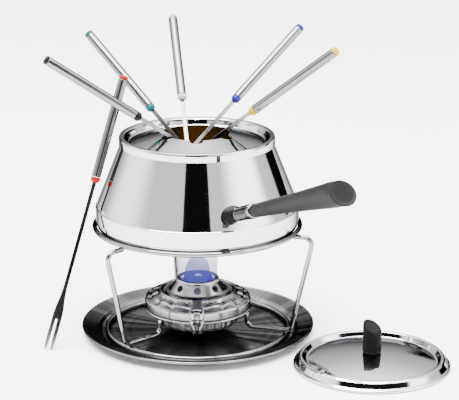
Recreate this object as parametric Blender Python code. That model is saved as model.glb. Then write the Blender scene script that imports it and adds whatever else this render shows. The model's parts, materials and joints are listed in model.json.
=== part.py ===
"""Fondue set: tray, wire stand with burner, pot with fork guard and handle, six forks, and a lid.

Lengths are in metres and +Z is up. The origin is on the table, under the middle of the tray.
Run with: blender --background --python part.py
"""

from math import atan2, cos, pi, radians, sin

import bmesh
import bpy
from mathutils import Matrix, Vector

MM = 0.001
GAP = 0.3 * MM
SIDES_LARGE = 48
SIDES_MEDIUM = 32
SIDES_SMALL = 12
WIRE_SIDES = 6

# Tray
TRAY_RADIUS = 115 * MM
TRAY_FLOOR_RADIUS = 95 * MM
TRAY_HEIGHT = 9.7 * MM
TRAY_FLOOR_TOP = 1.2 * MM

# Stand
WIRE = 2.4 * MM
UPPER_RING_RADIUS = 100.7 * MM
UPPER_RING_Z = 110.8 * MM
LOWER_RING_RADIUS = 90 * MM
LOWER_RING_Z = TRAY_FLOOR_TOP + GAP + WIRE
LEG_AZIMUTHS = {"left": 224, "right": 344, "back": 104}
LEG_TOP_REACH = 117 * MM
LEG_FOOT_REACH = 95 * MM
LEG_UPRIGHT_REACH = 50.5 * MM

# Pot
POT_SHOULDER_RADIUS = 98 * MM
POT_SHOULDER_Z = 133 * MM
POT_BAND_RADIUS = 99.3 * MM
POT_BAND_Z = 119 * MM
POT_RIM_RADIUS = 71.8 * MM
POT_RIM_Z = 199.5 * MM
POT_FLOOR_Z = 105.5 * MM
POT_WALL = 1.3 * MM
BASE_RADIUS = 76 * MM
BASE_THICKNESS = 4.5 * MM

# Fork guard on the pot's rim
GUARD_CREST_Z = 201.8 * MM
GUARD_OPENING_Z = 204.6 * MM
GUARD_OPENING_RADIUS = 31.5 * MM
GUARD_NOTCH_RADIUS = 6.5 * MM
FORK_COUNT = 6

# Handle
HANDLE_AZIMUTH = -70
HANDLE_HEADING = -59.2
HANDLE_RISE = 20.2
HANDLE_Z = 145 * MM
HANDLE_REACH = 196 * MM
BRACKET_END = 15 * MM
FERRULE_START = BRACKET_END + GAP
FERRULE_END = 46 * MM
GRIP_START = FERRULE_END + GAP
GRIP_END_LEAN = -24

# Forks: notch azimuth, heading and lean of the fork from the vertical, radius of the crossing, length above it
FORK_LENGTH = 275 * MM
FORK_HANDLE_LENGTH = 107 * MM
FORK_HANDLE_RADIUS = 4.5 * MM
FORK_BAR = 3.8 * MM
FORK_BAR_THICKNESS = 2.0 * MM
FORK_BLADE_LENGTH = 62 * MM
FORK_BLADE_WIDTH = 9.4 * MM
CROSSING_Z = 206 * MM
POT_FORKS = {
    "white": (115, 98, 50, 29 * MM, 135 * MM),
    "blue": (56, 38, 53, 29 * MM, 138 * MM),
    "yellow": (-4, -16, 52, 29 * MM, 137 * MM),
    "teal": (168, 141, 52, 29.5 * MM, 131 * MM),
    "black": (206, 182, 57, 34.5 * MM, 134 * MM),
}
LEANING_FORK_TIP = Vector((-144, -57, 0.6)) * MM
LEANING_FORK_HEADING = Vector((74, 75, 256)).normalized()

# Burner
BURNER_RADIUS = 53 * MM
BURNER_BOWL_RADIUS = 42.5 * MM
BURNER_BOWL_BOTTOM = 10 * MM
BURNER_FLANGE_Z = 24 * MM
COVER_RADIUS = 52.4 * MM
COVER_SIDE_TOP = 36.5 * MM
COVER_INNER_RADIUS = 36 * MM
COVER_TOP = 44 * MM
CONE_RADIUS = 28 * MM
CONE_TOP_RADIUS = 20.5 * MM
CONE_TOP = 56 * MM
CONE_HOLES = 8
LEVER_WIDTH = 14 * MM
LEVER_AZIMUTH = -90
LEVER_FOOT_Z = 16 * MM

# Lid, lying on the table beside the tray
LID_PLACE = (166 * MM, -94 * MM)
LID_RADIUS = 74.3 * MM
LID_TOP = 12.2 * MM
KNOB_RADIUS = 8.9 * MM
KNOB_HEIGHT = 31 * MM

COLOURS = {
    "polished_steel": ((0.80, 0.80, 0.82), 1.0, 0.07),
    "brushed_steel": ((0.70, 0.70, 0.71), 1.0, 0.28),
    "chromed_wire": ((0.82, 0.82, 0.84), 1.0, 0.10),
    "base_steel": ((0.62, 0.60, 0.58), 1.0, 0.25),
    "burner_steel": ((0.66, 0.66, 0.68), 1.0, 0.22),
    "dark_phenolic": ((0.045, 0.045, 0.05), 0.0, 0.42),
    "wadding": ((0.80, 0.78, 0.72), 0.0, 0.95),
    "white_plastic": ((0.75, 0.75, 0.76), 0.0, 0.35),
    "blue_plastic": ((0.05, 0.03, 0.30), 0.0, 0.35),
    "yellow_plastic": ((0.75, 0.60, 0.04), 0.0, 0.35),
    "teal_plastic": ((0.01, 0.22, 0.20), 0.0, 0.35),
    "black_plastic": ((0.015, 0.015, 0.03), 0.0, 0.35),
    "red_plastic": ((0.55, 0.02, 0.01), 0.0, 0.35),
}


def polar(radius, azimuth, z=0.0):
    angle = radians(azimuth)
    return Vector((radius * cos(angle), radius * sin(angle), z))


def clear_scene():
    for obj in list(bpy.data.objects):
        bpy.data.objects.remove(obj, do_unlink=True)


def material(name):
    found = bpy.data.materials.get(name)
    if found:
        return found
    colour, metallic, roughness = COLOURS[name]
    made = bpy.data.materials.new(name)
    made.use_nodes = True
    shader = made.node_tree.nodes["Principled BSDF"]
    shader.inputs["Base Color"].default_value = (*colour, 1)
    shader.inputs["Metallic"].default_value = metallic
    shader.inputs["Roughness"].default_value = roughness
    made.diffuse_color = (*colour, 1)
    return made


def add(name, bm, slot, parent=None, sharp=35):
    """Turns the bmesh into a named object with its own material."""
    bmesh.ops.recalc_face_normals(bm, faces=bm.faces)
    mesh = bpy.data.meshes.new(name)
    bm.to_mesh(mesh)
    bm.free()
    mesh.materials.append(material(slot))
    mesh.shade_smooth()
    mesh.set_sharp_from_angle(angle=radians(sharp))
    obj = bpy.data.objects.new(name, mesh)
    bpy.context.scene.collection.objects.link(obj)
    obj.parent = parent
    return obj


def frame(name, place, parent=None):
    """An empty on a moving body's axis."""
    empty = bpy.data.objects.new(name, None)
    empty.empty_display_size = 0.02
    empty.matrix_world = place if isinstance(place, Matrix) else Matrix.Translation(place)
    bpy.context.scene.collection.objects.link(empty)
    empty.parent = parent
    return empty


def turned_mesh(outline, sides):
    """Spins an (r, z) outline about Z. One that starts and ends on the axis is closed there by a point."""
    bm = bmesh.new()
    on_axis = outline[0][0] == 0
    rings = []
    for r, z in outline:
        if r == 0:
            rings.append([bm.verts.new((0, 0, z))])
        else:
            rings.append([bm.verts.new(polar(r, 360 * i / sides, z)) for i in range(sides)])
    pairs = list(zip(rings, rings[1:]))
    if not on_axis:
        pairs.append((rings[-1], rings[0]))
    for low, high in pairs:
        for i in range(sides):
            j = (i + 1) % sides
            corners = [low[i % len(low)], low[j % len(low)], high[j % len(high)], high[i % len(high)]]
            unique = list(dict.fromkeys(corners))
            if len(unique) > 2:
                bm.faces.new(unique)
    return bm


def turned(name, outline, slot, parent=None, sides=SIDES_LARGE):
    return add(name, turned_mesh(outline, sides), slot, parent)


def shell(skin, thickness):
    """The closed outline of a sheet: the skin, then the same points set back by the thickness."""
    back = []
    for i, (r, z) in enumerate(skin):
        before = Vector(skin[max(i - 1, 0)])
        after = Vector(skin[min(i + 1, len(skin) - 1)])
        here = Vector((r, z))
        first = (here - before).normalized() if i else (after - here).normalized()
        second = (after - here).normalized() if i < len(skin) - 1 else first
        along = (first + second).normalized()
        stretch = 1 / max(0.6, along.dot(first))
        normal = Vector((along.y, -along.x)) * thickness * stretch
        back.append((max(0.0, r + normal.x), z + normal.y) if r else (0.0, z + normal.y))
    return list(skin) + back[::-1]


def rounded(corners, radius, steps=4):
    """The corner points with each inner corner replaced by an arc."""
    points = [Vector(corners[0])]
    for before, here, after in zip(corners, corners[1:], corners[2:]):
        before, here, after = Vector(before), Vector(here), Vector(after)
        a, b = (before - here).normalized(), (after - here).normalized()
        half = a.angle(b) / 2
        reach = min(radius / max(1e-6, abs(sin(half) / cos(half))), 0.45 * (before - here).length,
                    0.45 * (after - here).length)
        for k in range(steps + 1):
            t = k / steps
            points.append(here + a * reach * (1 - t) ** 2 + b * reach * t**2)
    points.append(Vector(corners[-1]))
    return points


def swept_mesh(path, radius, sides=WIRE_SIDES, closed=False):
    """A round bar along the path, with the cross-section carried along without twist."""
    bm = bmesh.new()
    count = len(path)
    rings = []
    side = None
    for i, here in enumerate(path):
        before = path[i - 1] if i or closed else here
        after = path[(i + 1) % count] if i < count - 1 or closed else here
        along = (after - before).normalized()
        if side is None:
            side = along.orthogonal().normalized() if not closed else Vector((0, 0, 1))
        side = (side - along * side.dot(along)).normalized()
        other = along.cross(side)
        rings.append([
            bm.verts.new(here + radius * (cos(2 * pi * k / sides) * side + sin(2 * pi * k / sides) * other))
            for k in range(sides)
        ])
    last = count if closed else count - 1
    for i in range(last):
        low, high = rings[i], rings[(i + 1) % count]
        for k in range(sides):
            bm.faces.new([low[k], low[(k + 1) % sides], high[(k + 1) % sides], high[k]])
    if not closed:
        bm.faces.new(rings[0][::-1])
        bm.faces.new(rings[-1])
    return bm


def prism_mesh(outline, thickness):
    """An (x, z) outline with this thickness along Y, centred on Y = 0."""
    bm = bmesh.new()
    front = [bm.verts.new((x, -thickness / 2, z)) for x, z in outline]
    back = [bm.verts.new((x, thickness / 2, z)) for x, z in outline]
    bm.faces.new(front)
    bm.faces.new(back[::-1])
    for i in range(len(outline)):
        j = (i + 1) % len(outline)
        bm.faces.new([front[i], back[i], back[j], front[j]])
    return bm


def cutter(name, bm):
    obj = add(name, bm, "polished_steel")
    obj.hide_render = True
    obj.display_type = "WIRE"
    return obj


def cut(obj, tool):
    boolean = obj.modifiers.new(tool.name, "BOOLEAN")
    boolean.operation = "DIFFERENCE"
    boolean.object = tool


def cylinders_mesh(radius, height, places, sides=20):
    """Upright or tilted round bars, one for each matrix."""
    bm = bmesh.new()
    for place in places:
        bmesh.ops.create_cone(
            bm, cap_ends=True, segments=sides, radius1=radius, radius2=radius, depth=height, matrix=place
        )
    return bm


def along_axis(place, heading):
    """A frame at the place with its Z along the heading, and its Y level where it can be."""
    z = heading.normalized()
    x = z.cross(Vector((0, 1, 0))).normalized() * -1
    if x.x < 0:
        x = -x
    y = z.cross(x)
    return Matrix.Translation(place) @ Matrix((x, y, z)).transposed().to_4x4()


def make_tray():
    skin = [
        (TRAY_RADIUS - 0.9 * MM, TRAY_HEIGHT - 2.2 * MM),
        (TRAY_RADIUS, TRAY_HEIGHT - 1.6 * MM),
        (TRAY_RADIUS, TRAY_HEIGHT - 0.5 * MM),
        (TRAY_RADIUS - 1.0 * MM, TRAY_HEIGHT),
        (TRAY_RADIUS - 2.4 * MM, TRAY_HEIGHT - 0.4 * MM),
        (100 * MM, 6.2 * MM),
        (98.4 * MM, 5.4 * MM),
        (96.4 * MM, 2.2 * MM),
        (TRAY_FLOOR_RADIUS, TRAY_FLOOR_TOP),
        (0, TRAY_FLOOR_TOP),
    ]
    under = [
        (0, 0),
        (TRAY_FLOOR_RADIUS + 0.6 * MM, 0),
        (97.6 * MM, 1.4 * MM),
        (99.4 * MM, 4.4 * MM),
        (TRAY_RADIUS - 2.4 * MM, TRAY_HEIGHT - 1.7 * MM),
    ]
    turned("tray", under + skin, "brushed_steel", sides=SIDES_LARGE)


def ring_path(radius, z):
    return [polar(radius, 360 * i / SIDES_LARGE, z) for i in range(SIDES_LARGE)]


def leg_corners(azimuth):
    top = UPPER_RING_Z - 2 * WIRE - GAP
    foot = LOWER_RING_Z + 2 * WIRE + GAP
    tip = BURNER_FLANGE_Z - GAP
    places = (
        (UPPER_RING_RADIUS - 4 * MM, top),
        (LEG_TOP_REACH, top),
        (LEG_FOOT_REACH, foot),
        (LEG_UPRIGHT_REACH, foot),
        (LEG_UPRIGHT_REACH, tip),
    )
    return [polar(r, azimuth, z) for r, z in places]


def make_stand(body):
    upper = swept_mesh(ring_path(UPPER_RING_RADIUS, UPPER_RING_Z), WIRE, closed=True)
    lower = swept_mesh(ring_path(LOWER_RING_RADIUS, LOWER_RING_Z), WIRE, closed=True)
    add("stand_upper_ring", upper, "chromed_wire", body, sharp=60)
    add("stand_lower_ring", lower, "chromed_wire", body, sharp=60)
    for side, azimuth in LEG_AZIMUTHS.items():
        path = rounded(leg_corners(azimuth), 7 * MM, 3)
        add(f"stand_leg_{side}", swept_mesh(path, WIRE), "chromed_wire", body, sharp=60)


def pot_skin():
    """The pot's outside from the rim down to the axis."""
    return [
        (POT_RIM_RADIUS - 0.2 * MM, POT_RIM_Z),
        (POT_SHOULDER_RADIUS - 1.0 * MM, POT_SHOULDER_Z + 2.6 * MM),
        (POT_SHOULDER_RADIUS, POT_SHOULDER_Z),
        (POT_BAND_RADIUS, POT_SHOULDER_Z - 1.6 * MM),
        (POT_BAND_RADIUS, POT_BAND_Z),
        (98.95 * MM, 115.5 * MM),
        (98.0 * MM, 112.0 * MM),
        (96.2 * MM, 109.0 * MM),
        (93.0 * MM, 106.4 * MM),
        (88.0 * MM, 104.9 * MM),
        (0, POT_FLOOR_Z - POT_WALL),
    ]


def make_pot(body):
    turned("pot_shell", shell(pot_skin(), POT_WALL), "polished_steel", body, sides=SIDES_LARGE)
    top = POT_FLOOR_Z - POT_WALL - GAP
    turned(
        "pot_base",
        [
            (0, top - BASE_THICKNESS),
            (BASE_RADIUS - 1.5 * MM, top - BASE_THICKNESS),
            (BASE_RADIUS, top - BASE_THICKNESS + 1.5 * MM),
            (BASE_RADIUS, top - 1 * MM),
            (BASE_RADIUS - 1 * MM, top),
            (0, top),
        ],
        "base_steel",
        body,
    )


def make_guard(body):
    skin = [
        (75.9 * MM, POT_RIM_Z - 7.0 * MM),
        (75.6 * MM, POT_RIM_Z - 0.8 * MM),
        (73.6 * MM, GUARD_CREST_Z),
        (70.4 * MM, GUARD_CREST_Z - 0.2 * MM),
        (68.8 * MM, GUARD_CREST_Z - 2.2 * MM),
        (67.8 * MM, GUARD_CREST_Z - 6.6 * MM),
        (65.6 * MM, GUARD_CREST_Z - 7.2 * MM),
        (24 * MM, GUARD_OPENING_Z + 0.2 * MM),
    ]
    guard = turned("fork_guard", shell(skin, -0.7 * MM), "polished_steel", body, sides=SIDES_LARGE)
    places = [Matrix.Translation((0, 0, GUARD_OPENING_Z))]
    middle = cutter("guard_opening_tool", cylinders_mesh(GUARD_OPENING_RADIUS, 20 * MM, places, 36))
    cut(guard, middle)
    for i in range(FORK_COUNT):
        place = Matrix.Translation(polar(GUARD_OPENING_RADIUS, 30 + 60 * i, GUARD_OPENING_Z))
        tool = cutter(f"guard_notch_tool_{i + 1}", cylinders_mesh(GUARD_NOTCH_RADIUS, 20 * MM, [place], 16))
        cut(guard, tool)


def wall_radius(z):
    """The radius of the pot's cone at this height."""
    t = (z - POT_SHOULDER_Z) / (POT_RIM_Z - POT_SHOULDER_Z)
    return POT_SHOULDER_RADIUS + t * (POT_RIM_RADIUS - POT_SHOULDER_RADIUS)


def loft_mesh(sections):
    """A closed bar through sections, each a (matrix, half width, half height) of a round outline."""
    bm = bmesh.new()
    sides = 16
    rings = []
    for place, wide, high in sections:
        rings.append([
            bm.verts.new(place @ Vector((wide * cos(2 * pi * k / sides), high * sin(2 * pi * k / sides), 0)))
            for k in range(sides)
        ])
    for low, high in zip(rings, rings[1:]):
        for k in range(sides):
            bm.faces.new([low[k], low[(k + 1) % sides], high[(k + 1) % sides], high[k]])
    bm.faces.new(rings[0][::-1])
    bm.faces.new(rings[-1])
    return bm


def make_handle(body):
    start = polar(wall_radius(HANDLE_Z), HANDLE_AZIMUTH, HANDLE_Z)
    heading = polar(cos(radians(HANDLE_RISE)), HANDLE_HEADING, sin(radians(HANDLE_RISE)))
    bar = along_axis(start, heading)

    def at(distance, lean=0.0):
        return bar @ Matrix.Translation((0, 0, distance)) @ Matrix.Rotation(lean, 4, "Y")

    outward = polar(1, HANDLE_AZIMUTH)
    slope = atan2(POT_SHOULDER_RADIUS - POT_RIM_RADIUS, POT_RIM_Z - POT_SHOULDER_Z)
    normal = (outward * cos(slope) + Vector((0, 0, sin(slope)))).normalized()
    plate = along_axis(start, normal)
    foot = []
    for depth, wide, high in ((1.3, 7.8, 9.6), (3.2, 7.4, 9.2), (8.0, 6.2, 7.6), (15.0, 5.6, 6.2)):
        blend = depth * MM / BRACKET_END
        place = plate @ Matrix.Translation((0, 0, depth * MM))
        turn = place.to_quaternion().slerp(bar.to_quaternion(), blend**2)
        foot.append((Matrix.Translation(place.translation.lerp(at(BRACKET_END).translation, blend))
                     @ turn.to_matrix().to_4x4(), wide * MM, high * MM))
    add("handle_bracket", loft_mesh(foot), "dark_phenolic", body)
    sleeve = []
    for share, radius in ((0, 6.0), (0.08, 6.7), (0.92, 7.1), (1, 6.7)):
        reach = FERRULE_START + share * (FERRULE_END - FERRULE_START)
        sleeve.append((at(reach), radius * MM, radius * MM))
    add("handle_ferrule", loft_mesh(sleeve), "polished_steel", body)
    grip = []
    for share, radius in ((0, 6.4), (0.03, 6.9), (0.25, 7.6), (0.5, 8.8), (0.75, 10.6), (0.92, 11.7), (0.985, 12.0)):
        reach = GRIP_START + share * (HANDLE_REACH - GRIP_START)
        grip.append((at(reach), radius * MM, radius * MM * 0.94))
    grip.append((at(HANDLE_REACH, radians(GRIP_END_LEAN)), 12.6 * MM, 11.0 * MM))
    add("handle_grip", loft_mesh(grip), "dark_phenolic", body)


def make_knob_mesh():
    """A round knob whose top is cut on the slant."""
    bm = turned_mesh(
        [(0, 0), (KNOB_RADIUS - 1.2 * MM, 0), (KNOB_RADIUS - 0.4 * MM, 1.2 * MM), (KNOB_RADIUS, 6 * MM),
         (KNOB_RADIUS, KNOB_HEIGHT), (0, KNOB_HEIGHT)],
        32,
    )
    slope = Vector((0.42, -0.42, 0))
    for vert in bm.verts:
        if vert.co.z > KNOB_HEIGHT - 1 * MM:
            vert.co.z -= 6 * MM + slope.dot(vert.co)
    return bm


def make_lid(body):
    x, y = LID_PLACE
    skin = [
        (LID_RADIUS, 0.9 * MM),
        (LID_RADIUS - 1.0 * MM, 2.9 * MM),
        (68.6 * MM, 8.6 * MM),
        (66.8 * MM, 9.6 * MM),
        (64.6 * MM, 9.0 * MM),
        (62.6 * MM, 4.8 * MM),
        (60 * MM, 4.4 * MM),
        (44 * MM, 8.0 * MM),
        (28 * MM, 10.6 * MM),
        (12 * MM, 12.0 * MM),
        (0, LID_TOP),
    ]
    turned("lid_plate", shell(skin, -0.8 * MM), "polished_steel", body, sides=SIDES_LARGE)
    knob = add("lid_knob", make_knob_mesh(), "dark_phenolic", body)
    knob.location = (0, 0, LID_TOP + GAP)
    low, high = LID_TOP - 4.0 * MM, LID_TOP - 1.2 * MM
    turned(
        "lid_knob_screw",
        [(0, low), (4.2 * MM, low), (4.8 * MM, low + 0.8 * MM), (4.8 * MM, high - 0.1 * MM), (0, high)],
        "brushed_steel",
        body,
        sides=20,
    )


def bar_outline():
    """The flat bar of a fork from its tines up to where it enters the handle; z = 0 is the tip."""
    w, b = FORK_BLADE_WIDTH / 2, FORK_BAR / 2
    top = FORK_LENGTH - FORK_HANDLE_LENGTH - 1 * MM
    root = 30 * MM
    right = [(w - 1.2 * MM, 0), (w, 5 * MM), (w, 32 * MM), (w - 0.6 * MM, 42 * MM), (b + 0.5 * MM, 55 * MM),
             (b, FORK_BLADE_LENGTH), (b, top)]
    slot = [(-1.3 * MM, 6 * MM), (-1.3 * MM, root), (0, root + 1.6 * MM), (1.3 * MM, root), (1.3 * MM, 6 * MM)]
    left = [(-x, z) for x, z in reversed(right)]
    return left + slot + right


def make_fork(colour, place, parent):
    """A fork along its own Z: its tip is at z = 0 and its cap at z = FORK_LENGTH."""
    body = frame(f"fork_{colour}_axis", place, parent)
    slot = f"{colour}_plastic"
    add(f"fork_{colour}_blade", prism_mesh(bar_outline(), FORK_BAR_THICKNESS), "brushed_steel", body)
    low = FORK_LENGTH - FORK_HANDLE_LENGTH
    r = FORK_HANDLE_RADIUS
    end = FORK_LENGTH
    turned(f"fork_{colour}_collar", [
        (0, low - 0.7 * MM), (2.4 * MM, low - 0.7 * MM), (r - 0.5 * MM, low + 0.4 * MM), (r, low + 1.4 * MM),
        (r, low + 5 * MM), (0, low + 5 * MM)], slot, body, SIDES_SMALL)
    turned(f"fork_{colour}_handle", [
        (0, low + 5.3 * MM), (r, low + 5.3 * MM), (r, end - 4.3 * MM), (0, end - 4.3 * MM)],
        "brushed_steel", body, SIDES_SMALL)
    turned(f"fork_{colour}_cap", [
        (0, end - 4 * MM), (r, end - 4 * MM), (r, end - 1.5 * MM), (r - 1.3 * MM, end - 0.3 * MM), (0, end)],
        slot, body, SIDES_SMALL)
    return body


def fork_place(azimuth, heading, lean, radius, above):
    """The frame at the tip of a fork that crosses the guard's opening."""
    axis = polar(sin(radians(lean)), heading, cos(radians(lean)))
    crossing = polar(radius, azimuth, CROSSING_Z)
    return along_axis(crossing - axis * (FORK_LENGTH - above), axis)


def make_burner(body, cover_body, lever_body):
    bowl = [
        (BURNER_RADIUS - 0.8 * MM, BURNER_FLANGE_Z + 2.6 * MM),
        (BURNER_RADIUS, BURNER_FLANGE_Z + 1.9 * MM),
        (BURNER_RADIUS, BURNER_FLANGE_Z + 0.7 * MM),
        (BURNER_RADIUS - 0.8 * MM, BURNER_FLANGE_Z),
        (BURNER_BOWL_RADIUS + 0.8 * MM, BURNER_FLANGE_Z),
        (BURNER_BOWL_RADIUS, BURNER_FLANGE_Z - 0.8 * MM),
        (BURNER_BOWL_RADIUS - 0.6 * MM, 16 * MM),
        (BURNER_BOWL_RADIUS - 3.0 * MM, 11.6 * MM),
        (BURNER_BOWL_RADIUS - 6.5 * MM, BURNER_BOWL_BOTTOM),
        (0, BURNER_BOWL_BOTTOM),
    ]
    turned("burner_bowl", shell(bowl, 0.9 * MM), "burner_steel", body, sides=SIDES_MEDIUM)
    cup = [(30.5 * MM, 41 * MM), (30 * MM, 40.6 * MM), (30 * MM, 12.4 * MM), (28.5 * MM, 11.3 * MM),
           (0, 11.3 * MM)]
    turned("burner_fuel_cup", shell(cup, 0.8 * MM), "burner_steel", body, sides=SIDES_MEDIUM)
    turned("burner_wadding", [(0, 12.5 * MM), (28 * MM, 12.5 * MM), (28 * MM, 34 * MM), (0, 35 * MM)],
           "wadding", body, 24)
    cover = [
        (COVER_RADIUS - 0.4 * MM, BURNER_FLANGE_Z + 3.0 * MM),
        (COVER_RADIUS, COVER_SIDE_TOP - 1.6 * MM),
        (COVER_RADIUS - 2.0 * MM, COVER_SIDE_TOP + 0.3 * MM),
        (46 * MM, COVER_SIDE_TOP + 1.6 * MM),
        (44.5 * MM, COVER_SIDE_TOP + 3.6 * MM),
        (39.5 * MM, COVER_SIDE_TOP + 4.8 * MM),
        (37.6 * MM, COVER_TOP),
        (COVER_INNER_RADIUS - 0.2 * MM, COVER_TOP - 0.6 * MM),
        (COVER_INNER_RADIUS - 0.8 * MM, COVER_TOP - 3.5 * MM),
        (32.0 * MM, COVER_TOP - 4.2 * MM),
    ]
    turned("burner_cover", shell(cover, -0.7 * MM), "burner_steel", cover_body, sides=SIDES_MEDIUM)
    cone = [
        (31.4 * MM, COVER_TOP - 1.0 * MM),
        (CONE_RADIUS, COVER_TOP - 0.6 * MM),
        (CONE_TOP_RADIUS + 0.8 * MM, CONE_TOP - 2.6 * MM),
        (CONE_TOP_RADIUS + 0.6 * MM, CONE_TOP - 0.6 * MM),
        (CONE_TOP_RADIUS - 0.4 * MM, CONE_TOP),
        (CONE_TOP_RADIUS - 3.0 * MM, CONE_TOP - 0.5 * MM),
    ]
    top = turned("burner_cone", shell(cone, -0.7 * MM), "burner_steel", cover_body, sides=24)
    places = []
    for i in range(CONE_HOLES):
        azimuth = LEVER_AZIMUTH + 360 * i / CONE_HOLES
        middle = polar((CONE_RADIUS + CONE_TOP_RADIUS) / 2, azimuth, COVER_TOP + 4.6 * MM)
        places.append(along_axis(middle, polar(cos(radians(33)), azimuth, sin(radians(33)))))
    cut(top, cutter("cone_hole_tool", cylinders_mesh(3.5 * MM, 12 * MM, places, 10)))
    plate = [
        (31.9 * MM, COVER_TOP - 3.6 * MM), (34.6 * MM, COVER_TOP - 3.0 * MM), (34.6 * MM, COVER_TOP - 2.0 * MM),
        (31.9 * MM, COVER_TOP - 2.6 * MM),
    ]
    turned("regulator_ring", plate, "burner_steel", lever_body, sides=SIDES_MEDIUM)
    make_lever(lever_body)


def make_lever(body):
    """The tongue that reaches over the cover and down its side, with a two-pronged end."""
    line = [(36.6 * MM, COVER_TOP + 1.5 * MM), (40.0 * MM, COVER_TOP + 1.3 * MM),
            (46.0 * MM, COVER_SIDE_TOP + 5.4 * MM), (53.4 * MM, COVER_SIDE_TOP + 2.4 * MM),
            (55.0 * MM, COVER_SIDE_TOP - 1.0 * MM), (55.2 * MM, LEVER_FOOT_Z)]
    sheet = shell([Vector(p) for p in line], -0.9 * MM)
    bm = bmesh.new()
    across = Vector((1, 0, 0))
    rows = []
    for side in (-1, 1):
        rows.append([bm.verts.new(across * side * LEVER_WIDTH / 2 + Vector((0, -r, z))) for r, z in sheet])
    bm.faces.new(rows[0])
    bm.faces.new(rows[1][::-1])
    for i in range(len(sheet)):
        j = (i + 1) % len(sheet)
        bm.faces.new([rows[0][i], rows[0][j], rows[1][j], rows[1][i]])
    add("regulator_lever", bm, "burner_steel", body)


def main():
    clear_scene()
    make_tray()
    stand = frame("stand_body", (0, 0, 0))
    make_stand(stand)
    pot = frame("pot_body", (0, 0, 0), stand)
    make_pot(pot)
    make_handle(pot)
    guard = frame("guard_body", (0, 0, 0), pot)
    make_guard(guard)
    for colour, numbers in POT_FORKS.items():
        make_fork(colour, fork_place(*numbers), guard)
    make_fork("red", along_axis(LEANING_FORK_TIP, LEANING_FORK_HEADING), pot)
    burner = frame("burner_body", (0, 0, 0), stand)
    cover = frame("burner_cover_body", (0, 0, 0), burner)
    lever = frame("regulator_body", (0, 0, 0), cover)
    make_burner(burner, cover, lever)
    lid = frame("lid_body", (*LID_PLACE, 0))
    make_lid(lid)


main()
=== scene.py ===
"""Looks of the fondue set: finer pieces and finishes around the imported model, a table and studio light."""

import json
from math import atan2, cos, pi, radians, sin, sqrt, tan

import bmesh
import bpy
from mathutils import Matrix, Vector


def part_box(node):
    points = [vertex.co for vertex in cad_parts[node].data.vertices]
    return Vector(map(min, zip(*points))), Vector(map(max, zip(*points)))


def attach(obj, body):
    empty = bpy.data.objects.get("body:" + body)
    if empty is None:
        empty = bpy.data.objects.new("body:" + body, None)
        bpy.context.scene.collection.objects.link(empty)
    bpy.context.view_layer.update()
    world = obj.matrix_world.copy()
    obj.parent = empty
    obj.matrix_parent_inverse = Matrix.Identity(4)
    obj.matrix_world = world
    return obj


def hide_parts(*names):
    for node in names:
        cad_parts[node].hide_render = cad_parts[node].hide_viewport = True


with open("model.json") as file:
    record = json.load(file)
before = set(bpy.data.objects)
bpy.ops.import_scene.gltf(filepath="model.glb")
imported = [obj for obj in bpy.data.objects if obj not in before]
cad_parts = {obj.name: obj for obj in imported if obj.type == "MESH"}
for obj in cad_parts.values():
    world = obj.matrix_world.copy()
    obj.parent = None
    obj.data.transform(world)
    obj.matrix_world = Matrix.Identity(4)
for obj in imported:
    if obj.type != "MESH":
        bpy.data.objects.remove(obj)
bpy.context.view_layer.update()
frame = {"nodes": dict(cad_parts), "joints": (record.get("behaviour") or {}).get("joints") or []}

MM = 0.001
ROUND = 256  # sides of a turned piece
FORK_ROUND = 48
WIRE_ROUND = 20
FORK_PLASTICS = {
    "black": (0.0012, 0.0012, 0.003),
    "teal": (0.003, 0.075, 0.075),
    "white": (0.34, 0.34, 0.35),
    "blue": (0.016, 0.010, 0.16),
    "yellow": (0.42, 0.30, 0.012),
    "red": (0.24, 0.005, 0.003),
}
LEG_AZIMUTHS = {"left": 224, "right": 344, "back": 104}
JOINTS = {joint["name"]: joint for joint in frame["joints"]}

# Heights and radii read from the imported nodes
TRAY_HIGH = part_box("tray")[1]
UPPER_LOW, UPPER_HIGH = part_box("stand_upper_ring")
POT_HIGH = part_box("pot_shell")[1]
BASE_LOW, BASE_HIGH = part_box("pot_base")
GUARD_LOW, GUARD_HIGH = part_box("fork_guard")
LID_LOW, LID_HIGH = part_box("lid_plate")
KNOB_LOW, KNOB_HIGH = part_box("lid_knob")
BOWL_LOW, BOWL_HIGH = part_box("burner_bowl")
COVER_LOW, COVER_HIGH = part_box("burner_cover")
CONE_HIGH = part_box("burner_cone")[1]
LEVER_LOW, LEVER_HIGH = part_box("regulator_lever")
LID_CENTRE = (LID_LOW + LID_HIGH) / 2
WIRE = (UPPER_HIGH.z - UPPER_LOW.z) / 2  # the wires' radius

# The handle's and the forks' own dimensions
HANDLE_AZIMUTH = -70
HANDLE_START = 93.27 * MM
HANDLE_Z = 145 * MM
HANDLE_HEADING = -59.2
HANDLE_RISE = radians(20.2)
HANDLE_REACH = 196 * MM
BRACKET_END = 15 * MM
GRIP_START = 46.3 * MM
GRIP_END_LEAN = radians(-24)
POT_WALL_SLOPE = atan2(26.2, 66.5)
FORK_TUBE_MIDDLE = 222 * MM  # from the fork's tip
FORK_COLLAR_FOOT = 168 * MM
FORK_LENGTH = 275 * MM
FORK_RADIUS = 4.5 * MM
KNOB_SLANT = 0.42


# ---------------------------------------------------------------- shader maths


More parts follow.
